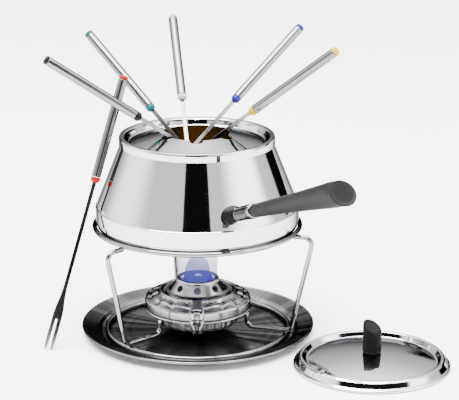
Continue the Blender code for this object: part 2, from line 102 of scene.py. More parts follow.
class Value:
    """A node's output, so that arithmetic on it adds Math nodes."""

    def __init__(self, finish, socket):
        self.finish, self.socket = finish, socket

    def maths(self, operation, *values):
        node = self.finish.node("ShaderNodeMath", {"operation": operation}, dict(enumerate(values)))
        return node(0)

    def __add__(self, other):
        return self.maths("ADD", self, other)

    def __radd__(self, other):
        return self.maths("ADD", other, self)

    def __sub__(self, other):
        return self.maths("SUBTRACT", self, other)

    def __rsub__(self, other):
        return self.maths("SUBTRACT", other, self)

    def __mul__(self, other):
        return self.maths("MULTIPLY", self, other)

    def __rmul__(self, other):
        return self.maths("MULTIPLY", other, self)

    def __truediv__(self, other):
        return self.maths("DIVIDE", self, other)

    def __pow__(self, power):
        return self.maths("POWER", self, power)

    def smooth(self, low, high):
        """0 below low, 1 above high, eased in between."""
        node = self.finish.node(
            "ShaderNodeMapRange",
            {"interpolation_type": "SMOOTHSTEP"},
            {"Value": self, "From Min": low, "From Max": high},
        )
        return node(0)


class Placed:
    """A new node, called with an output's number or name to read it as a Value."""

    def __init__(self, finish, made):
        self.finish, self.made = finish, made

    def __call__(self, output):
        return Value(self.finish, self.made.outputs[output])


class Finish:
    """A material with one Principled shader; constants are set on the shader's own sockets."""

    def __init__(self, name, tree=None, **constants):
        if tree is None:
            self.material = bpy.data.materials.new(name)
            self.material.use_nodes = True
            tree = self.material.node_tree
        self.tree = tree
        self.shader = tree.nodes.get("Principled BSDF")
        for socket, value in constants.items():
            self.shader.inputs[socket.replace("_", " ")].default_value = value

    def node(self, kind, settings=None, inputs=None):
        made = self.tree.nodes.new(kind)
        for key, value in (settings or {}).items():
            setattr(made, key, value)
        for key, value in (inputs or {}).items():
            self.feed(made.inputs[key], value)
        return Placed(self, made)

    def feed(self, socket, value):
        if isinstance(value, Value):
            self.tree.links.new(value.socket, socket)
        else:
            socket.default_value = value

    def set(self, socket, value):
        self.feed(self.shader.inputs[socket], value)

    def place(self):
        """Coordinates in the piece's own frame."""
        return self.node("ShaderNodeTexCoord")("Object")

    def split(self, vector):
        """The vector's x, y and z."""
        parts = self.node("ShaderNodeSeparateXYZ", None, {0: vector})
        return parts(0), parts(1), parts(2)

    def scaled(self, vector, factors):
        return self.node("ShaderNodeVectorMath", {"operation": "MULTIPLY"}, {0: vector, 1: factors})(0)

    def noise(self, vector, scale, detail=2.0, roughness=0.5):
        inputs = {"Vector": vector, "Scale": scale, "Detail": detail, "Roughness": roughness}
        return self.node("ShaderNodeTexNoise", None, inputs)(0)

    def line_noise(self, value, scale, detail=2.0):
        inputs = {"W": value, "Scale": scale, "Detail": detail}
        return self.node("ShaderNodeTexNoise", {"noise_dimensions": "1D"}, inputs)(0)

    def mix(self, factor, first, second):
        """A colour between two colours."""
        node = self.node("ShaderNodeMix", {"data_type": "RGBA"}, {0: factor, 6: first, 7: second})
        return node(2)

    def bump(self, height, distance, strength=1.0):
        inputs = {"Height": height, "Distance": distance, "Strength": strength}
        self.set("Normal", self.node("ShaderNodeBump", None, inputs)("Normal"))


# Polished metal is painted darker where it is seen edge on: a near-black edge tint, painted shade that stands
# in for dark surroundings mirrored at its silhouettes.
EDGE_PAINTED_SHADE_TINT = (0.05, 0.05, 0.055, 1)


def grey(value, warm=0.0):
    """A grey, or a warmer one."""
    return (value * (1 + warm), value, value * (1 - warm), 1)


# ---------------------------------------------------------------- finishes


def polished_steel(name):
    """Mirror steel with a faint waviness, wipe marks and a few fine scratches."""
    finish = Finish(name, Metallic=1.0, Specular_Tint=EDGE_PAINTED_SHADE_TINT)
    vector = finish.place()
    cloud = finish.noise(vector, 22, 3)
    wipes = finish.noise(finish.scaled(vector, (900, 900, 160)), 1.0, 3, 0.6)
    scratches = finish.noise(finish.scaled(vector, (60, 60, 2600)), 1.0, 1).smooth(0.70, 0.80)
    finish.set("Base Color", finish.mix(cloud, grey(0.59, 0.004), grey(0.64)))
    finish.set("Roughness", 0.028 + cloud * 0.03 + scratches * 0.05 + wipes * 0.012)
    finish.bump(finish.noise(vector, 9, 1) * 0.8 + wipes * 0.01, 0.00006, 0.25)
    return finish.material


def turned_steel(name, tint, rough, grain, streaks=0.0, flange_painted_shade=0.0):
    """Steel brushed round its centre, as on a lathe, with handling marks; a tray also has painted highlights
    in streaks from its centre outwards, and painted shade that darkens its flange."""
    finish = Finish(
        name, Metallic=1.0, Anisotropic=0.8, Anisotropic_Rotation=0.25, Specular_Tint=EDGE_PAINTED_SHADE_TINT
    )
    vector = finish.place()
    x, y, z = finish.split(vector)
    radius = (x * x + y * y) ** 0.5
    rings = finish.line_noise(radius + z * 0.7, grain, 3)
    broad = finish.line_noise(radius, grain / 14, 2)
    breaks = finish.noise(vector, 240, 2)
    marks = finish.noise(vector, 34, 4, 0.6)
    blend = rings * 0.6 + broad * 0.4
    if streaks:
        # painted highlights: lighter and darker sectors in streaks from the centre outwards
        across = finish.node("ShaderNodeCombineXYZ", None, {0: x / radius, 1: y / radius})(0)
        blend = blend + (finish.noise(across, 5.5, 3, 0.65).smooth(0.36, 0.66) - 0.5) * streaks
        # painted shade: the flange is made darker, standing in for dark surroundings mirrored there
        blend = blend - radius.smooth(96.5 * MM, 99 * MM) * flange_painted_shade
    finish.set("Base Color", finish.mix(blend, grey(tint * 0.6), grey(tint * 1.3)))
    finish.set("Roughness", rough - 0.06 + rings * 0.09 + marks * 0.07)
    finish.bump(rings * (0.6 + breaks * 0.5) + broad * 0.5, 0.00009, 0.55)
    return finish.material


def drawn_steel(name, tint, rough, along=40):
    """Steel brushed along its length, as on a fork's tube."""
    finish = Finish(name, Metallic=1.0, Specular_Tint=EDGE_PAINTED_SHADE_TINT)
    vector = finish.place()
    grain = finish.noise(finish.scaled(vector, (2600, 2600, along)), 1.0, 3, 0.6)
    marks = finish.noise(vector, 60, 3)
    finish.set("Base Color", finish.mix(grain, grey(tint * 0.72), grey(tint * 1.2)))
    finish.set("Roughness", rough - 0.07 + grain * 0.13 + marks * 0.05)
    finish.bump(grain, 0.00004, 0.5)
    return finish.material


def bright_wire():
    """Chrome on wire, with cloudy patches and a few pits."""
    finish = Finish("bright chromed wire", Metallic=1.0, Specular_Tint=EDGE_PAINTED_SHADE_TINT)
    vector = finish.place()
    cloud = finish.noise(vector, 70, 3)
    pits = finish.noise(vector, 1600, 2).smooth(0.66, 0.74)
    finish.set("Base Color", finish.mix(cloud, grey(0.19), grey(0.26)))
    finish.set("Roughness", 0.035 + cloud * 0.05 + pits * 0.10)
    finish.bump(finish.noise(vector, 300, 2), 0.00003, 0.3)
    return finish.material


def pot_inside():
    """The pot's satin inside, slightly straw-coloured from use, its steel painted dark as shade inside the
    pot.
    """
    finish = Finish("pot inside satin", Metallic=1.0)
    vector = finish.place()
    height = finish.split(vector)[2]
    rings = finish.line_noise(height, 1500, 2)
    stains = finish.noise(vector, 26, 4, 0.6)
    # painted shade: both colours are far darker than bare steel, for the shade inside the pot; the noise
    # between them is staining
    finish.set("Base Color", finish.mix(stains, (0.085, 0.052, 0.014, 1), (0.22, 0.15, 0.055, 1)))
    finish.set("Roughness", 0.26 + rings * 0.08 + stains * 0.12)
    finish.bump(rings, 0.00005, 0.4)
    return finish.material


def dark_moulding(name, tone, gloss):
    """Matt dark phenolic with a fine moulded grain and rubbed, lighter patches."""
    finish = Finish(name, Specular_IOR_Level=gloss)
    vector = finish.place()
    grain = finish.noise(vector, 2400, 3, 0.6)
    streaks = finish.noise(finish.scaled(vector, (420, 420, 60)), 1.0, 4, 0.62)
    rubbed = finish.noise(vector, 45, 3)
    dark = (tone * 0.82, tone * 0.86, tone * 0.95, 1)
    light = (tone * 2.1, tone * 2.15, tone * 2.3, 1)
    finish.set("Base Color", finish.mix(streaks * 0.7 + rubbed * 0.3, dark, light))
    finish.set("Roughness", 0.40 + streaks * 0.14 + grain * 0.10 - rubbed * 0.08)
    finish.bump(grain + streaks * 0.8, 0.00006, 0.5)
    return finish.material


def cut_face():
    """The slanted cut face of the knob and the grip, matter than their sides."""
    finish = Finish("cut face of the grip", Specular_IOR_Level=0.1)
    vector = finish.place()
    grain = finish.noise(vector, 1500, 3, 0.6)
    dark, light = (0.0022, 0.0023, 0.0027, 1), (0.0055, 0.0057, 0.0064, 1)
    finish.set("Base Color", finish.mix(grain, dark, light))
    finish.set("Roughness", 0.55 + grain * 0.2)
    finish.bump(grain, 0.00005, 0.5)
    return finish.material


def coloured_plastic(name, colour):
    """Satin plastic, slightly clouded in its colour."""
    finish = Finish(name, Specular_IOR_Level=0.12)
    vector = finish.place()
    cloud = finish.noise(vector, 700, 2)
    dark = tuple(c * 0.8 for c in colour) + (1,)
    light = tuple(min(1, c * 1.15) for c in colour) + (1,)
    finish.set("Base Color", finish.mix(cloud, dark, light))
    finish.set("Roughness", 0.28 + cloud * 0.16)
    finish.bump(finish.noise(vector, 2600, 2), 0.00002, 0.3)
    return finish.material


def wadding():
    """Pale absorbent fibres."""
    finish = Finish("burner wadding")
    vector = finish.place()
    fibres = finish.noise(vector, 900, 5, 0.7)
    finish.set("Base Color", finish.mix(fibres, (0.55, 0.52, 0.46, 1), (0.82, 0.80, 0.74, 1)))
    finish.set("Roughness", 0.9 + fibres * 0.1)
    finish.bump(fibres, 0.0006, 0.8)
    return finish.material


def flame_glow(low, high):
    """A thin blue flame between these heights, fading towards its tip."""
    finish = Finish(
        "spirit flame", Base_Color=(0, 0, 0, 1), Roughness=1.0, Specular_IOR_Level=0.0, Emission_Strength=0.8
    )
    vector = finish.place()
    height = (finish.split(vector)[2] - low) / (high - low)
    licks = finish.noise(finish.scaled(vector, (90, 90, 30)), 1.0, 2)
    colour = finish.mix(height.smooth(0.0, 0.9), (0.13, 0.14, 0.72, 1), (0.22, 0.22, 0.88, 1))
    finish.set("Emission Color", colour)
    fade = 0.82 - height.smooth(0.75, 1.0) * 0.5
    finish.set("Alpha", (0.50 + licks * 0.2) * fade)
    return finish.material


# ---------------------------------------------------------------- mesh making


def polar(radius, azimuth, z=0.0):
    return Vector((radius * cos(radians(azimuth)), radius * sin(radians(azimuth)), z))


def add(name, bm, material, sharp):
    """The finished mesh as an object, smooth except at edges over this many degrees."""
    bmesh.ops.recalc_face_normals(bm, faces=bm.faces)
    mesh = bpy.data.meshes.new(name)
    bm.to_mesh(mesh)
    bm.free()
    mesh.materials.append(material)
    mesh.shade_smooth()
    mesh.set_sharp_from_angle(angle=radians(sharp))
    obj = bpy.data.objects.new(name, mesh)
    bpy.context.scene.collection.objects.link(obj)
    return obj


def dress(obj, body, slot, *nodes):
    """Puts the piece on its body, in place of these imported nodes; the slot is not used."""
    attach(obj, body)
    if nodes:
        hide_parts(*nodes)
    return obj


def repaint(node, material):
    """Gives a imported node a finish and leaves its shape."""
    mesh = frame["nodes"][node].data
    mesh.materials.clear()
    mesh.materials.append(material)


def cut_end(obj, material):
    """Gives the piece's last face, its slanted cut, a finish of its own."""
    obj.data.materials.append(material)
    obj.data.polygons[-1].material_index = 1


def ramp(value, start, end):
    """0 at the start, 1 at the end, straight in between."""
    return max(0.0, min(1.0, (value - start) / (end - start)))


def eased(outline, radius, steps):
    """The outline with each corner rounded off; the radius gives way where the sides are short."""
    points = [Vector((*p, 0)) for p in outline]
    count = len(points)
    made = []
    for i, here in enumerate(points):
        if i in (0, count - 1):
            made.append((here.x, here.y))
            continue
        a, b = points[i - 1] - here, points[i + 1] - here
        half = a.angle(b) / 2
        reach = min(radius / max(1e-4, tan(half)), 0.46 * a.length, 0.46 * b.length)
        a, b = a.normalized() * reach, b.normalized() * reach
        for k in range(steps + 1):
            t = k / steps
            point = here + a * (1 - t) ** 2 + b * t**2
            made.append((point.x, point.y))
    return made


def set_back(skin, thickness):
    """The sheet's other face: the skin moved along its normals."""
    back = []
    for i, (r, z) in enumerate(skin):
        here = Vector((r, z))
        before = Vector(skin[max(i - 1, 0)])
        after = Vector(skin[min(i + 1, len(skin) - 1)])
        along = (after - before).normalized()
        back.append((max(0.0, r + along.y * thickness) if r else 0.0, z - along.x * thickness))
    return back


def turned_mesh(outline, sides=ROUND, shape=None):
    """Spins an (r, z) outline about Z; one that starts off the axis is closed back to its start. The shape
    function may move a point: it gives (r, z) for (r, z, angle)."""
    bm = bmesh.new()
    rings = []
    for r, z in outline:
        if r == 0:
            rings.append([bm.verts.new((0, 0, z))])
            continue
        ring = []
        for i in range(sides):
            angle = 2 * pi * i / sides
            radius, height = shape(r, z, angle) if shape else (r, z)
            ring.append(bm.verts.new((radius * cos(angle), radius * sin(angle), height)))
        rings.append(ring)
    pairs = list(zip(rings, rings[1:]))
    if outline[0][0] != 0:
        pairs.append((rings[-1], rings[0]))
    for low, high in pairs:
        for i in range(sides):
            j = (i + 1) % sides
            corners = [low[i % len(low)], low[j % len(low)], high[j % len(high)], high[i % len(high)]]
            corners = list(dict.fromkeys(corners))
            if len(corners) > 2:
                bm.faces.new(corners)
    return bm


def swept_mesh(path, radius, sides=WIRE_ROUND, closed=False):
    """A round wire along the path, with rounded ends unless it is closed."""
    bm = bmesh.new()
    count = len(path)
    rings = []
    side = None
    for i, here in enumerate(path):
        before = path[i - 1] if i or closed else here
        after = path[(i + 1) % count] if i < count - 1 or closed else here
        along = (after - before).normalized()
        if side is None:
            side = Vector((0, 0, 1)) if closed else along.orthogonal().normalized()
        side = (side - along * side.dot(along)).normalized()
        other = along.cross(side)
        turns = [2 * pi * k / sides for k in range(sides)]
        rings.append([bm.verts.new(here + radius * (cos(turn) * side + sin(turn) * other)) for turn in turns])
    for i in range(count if closed else count - 1):
        low, high = rings[i], rings[(i + 1) % count]
        for k in range(sides):
            bm.faces.new([low[k], low[(k + 1) % sides], high[(k + 1) % sides], high[k]])
    if not closed:
        for ring in (rings[0], rings[-1]):
            edges = [e for e in bm.edges if all(v in ring for v in e.verts)]
            bm.faces.new(ring)
            bmesh.ops.bevel(bm, geom=edges, offset=radius * 0.25, segments=3, affect="EDGES", profile=0.5)
    return bm


def bend(corners, radius, steps=10):
    """A path whose inner corners follow arcs."""
    corners = [Vector(corner) for corner in corners]
    points = [corners[0]]
    for before, here, after in zip(corners, corners[1:], corners[2:]):
        a, b = before - here, after - here
        half = a.angle(b) / 2
        reach = min(radius / tan(half), 0.45 * a.length, 0.45 * b.length)
        a.normalize()
        b.normalize()
        centre = here + (a + b).normalized() * reach / cos(half)
        start, end = here + a * reach - centre, here + b * reach - centre
        for k in range(steps + 1):
            points.append(centre + start.slerp(end, k / steps) * start.length)
    points.append(corners[-1])
    return points


def loft_mesh(sections, sides=48):
    """A closed bar through oval sections: (matrix, half width, half height)."""
    bm = bmesh.new()
    turns = [2 * pi * k / sides for k in range(sides)]
    rings = [
        [bm.verts.new(place @ Vector((wide * cos(turn), high * sin(turn), 0))) for turn in turns]
        for place, wide, high in sections
    ]
    for low, high in zip(rings, rings[1:]):
        for k in range(sides):
            bm.faces.new([low[k], low[(k + 1) % sides], high[(k + 1) % sides], high[k]])
    bm.faces.new(rings[0][::-1])
    bm.faces.new(rings[-1])
    return bm


def axis_frame(place, heading):
    """A frame at this place: Z along the heading, and X square to it and to the world's Y."""
    z = heading.normalized()
    x = Vector((0, 1, 0)).cross(z).normalized()
    y = z.cross(x)
    return Matrix.Translation(place) @ Matrix((x, y, z)).transposed().to_4x4()


# ---------------------------------------------------------------- tray and stand


def make_tray(steel):
    """A flat floor, a step up, and a wide sloping flange with a rolled edge."""
    radius, top, floor = TRAY_HIGH.x, TRAY_HIGH.z, 1.2 * MM
    skin = [
        (radius - 1.6 * MM, top - 2.5 * MM),
        (radius - 0.2 * MM, top - 2.1 * MM),
        (radius, top - 1.0 * MM),
        (radius - 0.5 * MM, top - 0.1 * MM),
        (radius - 1.7 * MM, top),
        (radius - 3.0 * MM, top - 0.7 * MM),
        (100.6 * MM, 6.3 * MM),
        (98.6 * MM, 5.6 * MM),
        (96.6 * MM, 2.4 * MM),
        (95 * MM, floor),
        (93 * MM, floor),
        (0, floor),
    ]
    under = [
        (0, 0),
        (94.8 * MM, 0),
        (97.4 * MM, 1.3 * MM),
        (99.4 * MM, 4.5 * MM),
        (radius - 3 * MM, top - 1.9 * MM),
    ]
    outline = eased(under, 1.5 * MM, 3) + eased(skin, 1.4 * MM, 4)
    plate = add("tray_plate", turned_mesh(outline), steel, 50)
    dress(plate, "tray", "brushed_steel", "tray")


def ring_wire(name, chrome):
    node = f"stand_{name}_ring"
    low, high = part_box(node)
    radius, z = high.x - WIRE, (low.z + high.z) / 2
    path = [polar(radius, 360 * i / ROUND, z) for i in range(ROUND)]
    ring = add(f"{name}_ring_wire", swept_mesh(path, WIRE, closed=True), chrome, 80)
    dress(ring, "stand", "chromed_wire", node)


def leg_wire(side, azimuth, chrome):
    """Out from under the upper ring, down to the lower one, in over the tray, and up to hold the burner."""
    node = f"stand_leg_{side}"
    low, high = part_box(node)
    top, foot, tip = high.z - WIRE, low.z + WIRE, BOWL_HIGH.z - 2.9 * MM
    inner, outer = 50.5 * MM, UPPER_HIGH.x - WIRE - 4 * MM
    places = ((outer, top), (117 * MM, top), (95 * MM, foot), (inner, foot), (inner, tip))
    path = bend([polar(r, azimuth, z) for r, z in places], 7.5 * MM)
    leg = add(f"leg_{side}_wire", swept_mesh(path, WIRE), chrome, 60)
    dress(leg, "stand", "chromed_wire", node)


def make_stand(chrome):
    for name in ("upper", "lower"):
        ring_wire(name, chrome)
    for side, azimuth in LEG_AZIMUTHS.items():
        leg_wire(side, azimuth, chrome)


# ---------------------------------------------------------------- pot, guard and handle


def make_pot(steel, inside, base):
    """A cone from the rim down to a shoulder, an upright band and a rounded foot, over the base disc."""
    rim, band, shoulder = 71.6 * MM, POT_HIGH.x, 131 * MM
    skin = [
        (rim, POT_HIGH.z),
        (97.5 * MM, shoulder + 3.6 * MM),
        (98.0 * MM, shoulder + 2.0 * MM),
        (98.3 * MM, shoulder + 0.9 * MM),
        (band, shoulder),
        (band, 119 * MM),
        (98.95 * MM, 115.5 * MM),
        (98.0 * MM, 112.0 * MM),
        (96.2 * MM, 109.0 * MM),
        (93.0 * MM, 106.4 * MM),
        (88.0 * MM, 104.9 * MM),
        (0, 104.2 * MM),
    ]
    skin = eased(skin, 1.2 * MM, 5)
    back = set_back(skin, 1.25 * MM)
    shell = add("pot_body", turned_mesh(skin + back[::-1]), steel, 40)
    shell.data.materials.append(inside)
    inner_rows = len(skin) - 1
    for index, face in enumerate(shell.data.polygons):
        if index // ROUND >= inner_rows:
            face.material_index = 1
    dress(shell, "pot", "polished_steel", "pot_shell")
    radius, low, high = BASE_HIGH.x, BASE_LOW.z, BASE_HIGH.z
    disc = [
        (0, low),
        (radius - 1.6 * MM, low),
        (radius, low + 1.5 * MM),
        (radius, high - 1 * MM),
        (radius - 1 * MM, high),
        (0, high),
    ]
    plate = add("pot_base_disc", turned_mesh(eased(disc, 1 * MM, 4), 192), base, 40)
    dress(plate, "pot", "base_steel", "pot_base")


def opening_radius(angle):
    """The guard's opening: a circle with six round notches."""
    circle, notch, step = 31.5 * MM, 6.5 * MM, radians(60)
    off = angle % step - step / 2
    side = circle * sin(off)
    if abs(side) >= notch:
        return circle
    return max(circle, circle * cos(off) + sqrt(notch**2 - side**2))


def make_guard(steel):
    """A lipped ring over the pot's rim, with a shallow cone up to its notched opening."""
    low, crest, mouth_z = GUARD_LOW.z, GUARD_HIGH.z - 3.0 * MM, GUARD_HIGH.z - 0.3 * MM
    lip = [
        (75.9 * MM, low),
        (75.8 * MM, low + 5.6 * MM),
        (75.2 * MM, low + 8.0 * MM),
        (73.8 * MM, crest - 0.2 * MM),
        (71.8 * MM, crest + 0.2 * MM),
        (70.0 * MM, crest - 0.6 * MM),
        (69.0 * MM, crest - 2.4 * MM),
        (68.0 * MM, crest - 6.4 * MM),
        (66.4 * MM, crest - 7.3 * MM),
        (64.6 * MM, crest - 7.0 * MM),
    ]
    skin = eased(lip, 1.6 * MM, 5)
    start_r, start_z = skin[-1]
    inner, notched, steps = 30 * MM, 46 * MM, 14
    for k in range(1, steps + 1):
        share = k / steps
        skin.append((start_r + (inner - start_r) * share, start_z + (mouth_z - start_z) * share))
    outline = skin + set_back(skin, -0.6 * MM)[::-1]

    def notches(r, z, angle):
        """Draws the cone's inner part out to the notched opening, and down along its own slope."""
        share = ramp(r, notched, inner)
        edge = opening_radius(angle)
        if share == 0:
            return r, z
        return notched + (edge - notched) * share, z - share * (edge - inner) * 0.25

    ring = add("guard_ring", turned_mesh(outline, 360, notches), steel, 50)
    dress(ring, "guard", "polished_steel", "fork_guard")


def make_handle(grip_stuff, bracket_stuff, cut_stuff, steel):
    """A bracket on the pot's wall, a steel ferrule, and a flared grip that ends in a slanted cut."""
    start = polar(HANDLE_START, HANDLE_AZIMUTH, HANDLE_Z)
    bar = axis_frame(start, polar(cos(HANDLE_RISE), HANDLE_HEADING, sin(HANDLE_RISE)))
    wall = axis_frame(start, polar(cos(POT_WALL_SLOPE), HANDLE_AZIMUTH, sin(POT_WALL_SLOPE)))

    def at(distance, lean=0.0):
        return bar @ Matrix.Translation((0, 0, distance)) @ Matrix.Rotation(lean, 4, "Y")

    bracket = []
    for depth, wide, high in (
        (0.9, 7.7, 9.6),
        (1.4, 8.1, 10.0),
        (2.8, 7.9, 9.8),
        (5.0, 7.2, 8.9),
        (8.0, 6.4, 7.8),
        (11.5, 5.9, 6.8),
        (14.2, 5.8, 6.3),
        (15.0, 5.2, 5.7),
    ):
        blend = depth * MM / BRACKET_END
        turn = wall.to_quaternion().slerp(bar.to_quaternion(), blend**2)
        out = (wall @ Matrix.Translation((0, 0, depth * MM))).translation
        spot = out.lerp(at(BRACKET_END).translation, blend)
        bracket.append((Matrix.Translation(spot) @ turn.to_matrix().to_4x4(), wide * MM, high * MM))
    foot = add("grip_bracket", loft_mesh(bracket), bracket_stuff, 32)
    dress(foot, "pot", "dark_phenolic", "handle_bracket")

    ferrule = []
    for distance, radius in (
        (15.3, 5.4),
        (15.6, 6.2),
        (16.4, 6.7),
        (18.2, 6.9),
        (18.9, 6.75),
        (19.6, 6.7),
        (38, 7.0),
        (42, 7.2),
        (44.6, 7.1),
        (45.6, 6.8),
        (46.0, 6.2),
    ):
        ferrule.append((at(distance * MM), radius * MM, radius * MM))
    sleeve = add("grip_ferrule", loft_mesh(ferrule), steel, 32)
    dress(sleeve, "pot", "polished_steel", "handle_ferrule")

    grip = [(at(GRIP_START), 5.6 * MM, 5.3 * MM)]
    length = HANDLE_REACH - GRIP_START
    rows = 26
    for k in range(rows):
        share = 0.006 + 0.955 * k / (rows - 1)
        radius = (6.5 + 3.3 * share + 2.7 * share**2) * MM
        lean = GRIP_END_LEAN * min(1.0, max(0.0, (share - 0.84) / 0.13) ** 1.3)
        grip.append((at(GRIP_START + share * length, lean), radius, radius * 0.93))
    end = at(HANDLE_REACH, GRIP_END_LEAN)
    for back, scale in ((1.3, 1.0), (0.5, 0.985), (0.0, 0.93), (0.35, 0.86), (0.5, 0.70)):
        grip.append((end @ Matrix.Translation((0, 0, -back * MM)), 12.7 * MM * scale, 11.2 * MM * scale))
    body = add("grip_body", loft_mesh(grip, 64), grip_stuff, 45)
    cut_end(body, cut_stuff)
    dress(body, "pot", "dark_phenolic", "handle_grip")


# ---------------------------------------------------------------- forks


def fork_axis(colour):
    """The frame at the fork's tip, from its packed handle and its joint."""
    heading = Vector(JOINTS[f"fork_{colour}_pull"]["axis"])
    low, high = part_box(f"fork_{colour}_handle")
    return axis_frame((low + high) / 2 - heading * FORK_TUBE_MIDDLE, heading)


def bar_outline():
    """The flat bar from its two tines up to the collar, seen from the front."""
    tines, bar, gap = 4.7 * MM, 1.9 * MM, 1.3 * MM  # half widths
    root, top = 30 * MM, 167.5 * MM
    right = [
        (tines - 1.7 * MM, 0),
        (tines - 0.9 * MM, 0.8 * MM),
        (tines - 0.1 * MM, 5 * MM),
        (tines, 9 * MM),
        (tines, root),
        (tines - 0.15 * MM, 36 * MM),
        (tines - 0.7 * MM, 43 * MM),
        (bar + 1.2 * MM, 49 * MM),
        (bar + 0.45 * MM, 55 * MM),
        (bar, 62 * MM),
        (bar, top),
    ]
    slot = [(-2.0 * MM, 0.6 * MM), (-1.35 * MM, 6 * MM), (-gap, root)]
    arc = [(-gap * cos(pi * k / 6), root + gap * sin(pi * k / 6)) for k in range(1, 6)]
    left = [(-x, z) for x, z in reversed(right)]
    return left + slot + arc + [(-x, z) for x, z in reversed(slot)] + right


def bar_mesh():
    """The bar as flat steel with its edges broken, thinner towards the points."""
    bm = bmesh.new()
    half = 0.95 * MM
    outline = bar_outline()
    front = [bm.verts.new((x, -half, z)) for x, z in outline]
    back = [bm.verts.new((x, half, z)) for x, z in outline]
    bm.faces.new(front)
    bm.faces.new(back[::-1])
    for i in range(len(outline)):
        j = (i + 1) % len(outline)
        bm.faces.new([front[i], back[i], back[j], front[j]])
    rims = [e for e in bm.edges if abs(e.verts[0].co.y - e.verts[1].co.y) < half]
    bmesh.ops.bevel(
        bm, geom=rims, offset=0.35 * MM, segments=3, affect="EDGES", profile=0.5, clamp_overlap=True
    )
    for vert in bm.verts:
        vert.co.y *= 1 - 0.45 * max(0.0, 1 - vert.co.z / (20 * MM))
    return bm


def make_fork(colour, plastic, bar_steel, tube_steel):
    """The bar, its coloured collar, the tube that is held and the coloured cap."""
    r, foot, end = FORK_RADIUS, FORK_COLLAR_FOOT, FORK_LENGTH
    collar = [
        (0, foot - 0.6 * MM),
        (2.3 * MM, foot - 0.6 * MM),
        (2.9 * MM, foot - 0.2 * MM),
        (3.9 * MM, foot + 0.7 * MM),
        (r, foot + 1.8 * MM),
        (r, foot + 5 * MM),
        (0, foot + 5 * MM),
    ]
    tube = [
        (0, foot + 5.25 * MM),
        (r - 0.3 * MM, foot + 5.25 * MM),
        (r, foot + 5.6 * MM),
        (r, end - 4.6 * MM),
        (r - 0.3 * MM, end - 4.25 * MM),
        (0, end - 4.25 * MM),
    ]
    cap = [
        (0, end - 4 * MM),
        (r, end - 4 * MM),
        (r, end - 1.9 * MM),
        (r - 0.5 * MM, end - 0.9 * MM),
        (r - 1.6 * MM, end - 0.25 * MM),
        (0, end),
    ]

    def turned(outline, rounding):
        return turned_mesh(eased(outline, rounding, 3), FORK_ROUND)

    for name, node, bm, material, slot in (
        ("bar", "blade", bar_mesh(), bar_steel, "brushed_steel"),
        ("collar", "collar", turned(collar, 0.6 * MM), plastic, f"{colour}_plastic"),
        ("tube", "handle", turned(tube, 0.3 * MM), tube_steel, "brushed_steel"),
        ("cap", "cap", turned(cap, 0.8 * MM), plastic, f"{colour}_plastic"),
    ):
        piece = add(f"{colour}_{name}", bm, material, 40)
        piece.matrix_world = fork_axis(colour)
        dress(piece, f"fork_{colour}", slot, f"fork_{colour}_{node}")


# ---------------------------------------------------------------- burner


def make_bowl(steel):
    """The burner's bowl, with a rolled flange and flutes pressed into its side."""
    radius, low, flange, bowl = BOWL_HIGH.x, BOWL_LOW.z, BOWL_HIGH.z, 42.5 * MM
    skin = [
        (radius - 0.9 * MM, flange),
        (radius, flange - 0.6 * MM),
        (radius, flange - 2.0 * MM),
        (radius - 0.9 * MM, flange - 2.6 * MM),
        (bowl + 1.6 * MM, flange - 2.7 * MM),
        (bowl + 0.2 * MM, flange - 3.4 * MM),
        (bowl - 0.3 * MM, 19.5 * MM),
        (bowl - 1.0 * MM, 15 * MM),
        (bowl - 3.2 * MM, 11.8 * MM),
        (bowl - 7.0 * MM, low),
        (0, low),
    ]
    flute_count, flute_depth = 28, 1 * MM

    def flutes(r, z, angle):
        if r <= 34 * MM:
            return r, z
        zone = ramp(z, 22.5 * MM, 18.5 * MM) * ramp(z, 10.4 * MM, 13.4 * MM)
        return r - zone * flute_depth * (0.5 - 0.5 * cos(flute_count * angle)) ** 1.5, z

    skin = eased(skin, 0.9 * MM, 4)
    outline = skin + set_back(skin, 0.9 * MM)[::-1]
    bowl_piece = add("bowl_pressing", turned_mesh(outline, 432, flutes), steel, 50)
    dress(bowl_piece, "burner", "burner_steel", "burner_bowl")


def make_cover(steel):
    """The burner's cover: an upright skirt, a ribbed shoulder and a raised collar round the cone."""
    radius, low, top = COVER_HIGH.x, COVER_LOW.z, COVER_HIGH.z
    skin = [
        (radius - 0.1 * MM, low),
        (radius, low + 1.0 * MM),
        (radius, 34.6 * MM),
        (radius - 0.7 * MM, 36.2 * MM),
        (radius - 2.2 * MM, 36.8 * MM),
        (47.6 * MM, 37.3 * MM),
        (46.0 * MM, 38.3 * MM),
        (44.6 * MM, 40.0 * MM),
        (43.2 * MM, 40.4 * MM),
        (39.6 * MM, 41.2 * MM),
        (38.4 * MM, 42.6 * MM),
        (37.4 * MM, top - 0.1 * MM),
        (36.3 * MM, top - 0.1 * MM),
        (35.5 * MM, top - 1.4 * MM),
        (35.1 * MM, top - 3.6 * MM),
        (32.0 * MM, top - 4.3 * MM),
    ]
    rib_count, rib_height, groove = 16, 1.1 * MM, 0.62

    def ribs(r, z, angle):
        zone = ramp(r, 38.6 * MM, 40 * MM) * ramp(r, 49.5 * MM, 48 * MM)
        wave = 0.5 + 0.5 * cos(rib_count * (angle + pi / 2))
        lift = 1 - (max(0.0, groove - wave) / groove) ** 1.6
        return r, z + zone * rib_height * (lift - 0.9)

    skin = eased(skin, 0.8 * MM, 4)
    outline = skin + set_back(skin, -0.6 * MM)[::-1]
    cover = add("cover_pressing", turned_mesh(outline, 480, ribs), steel, 50)
    dress(cover, "burner_cover", "burner_steel", "burner_cover")


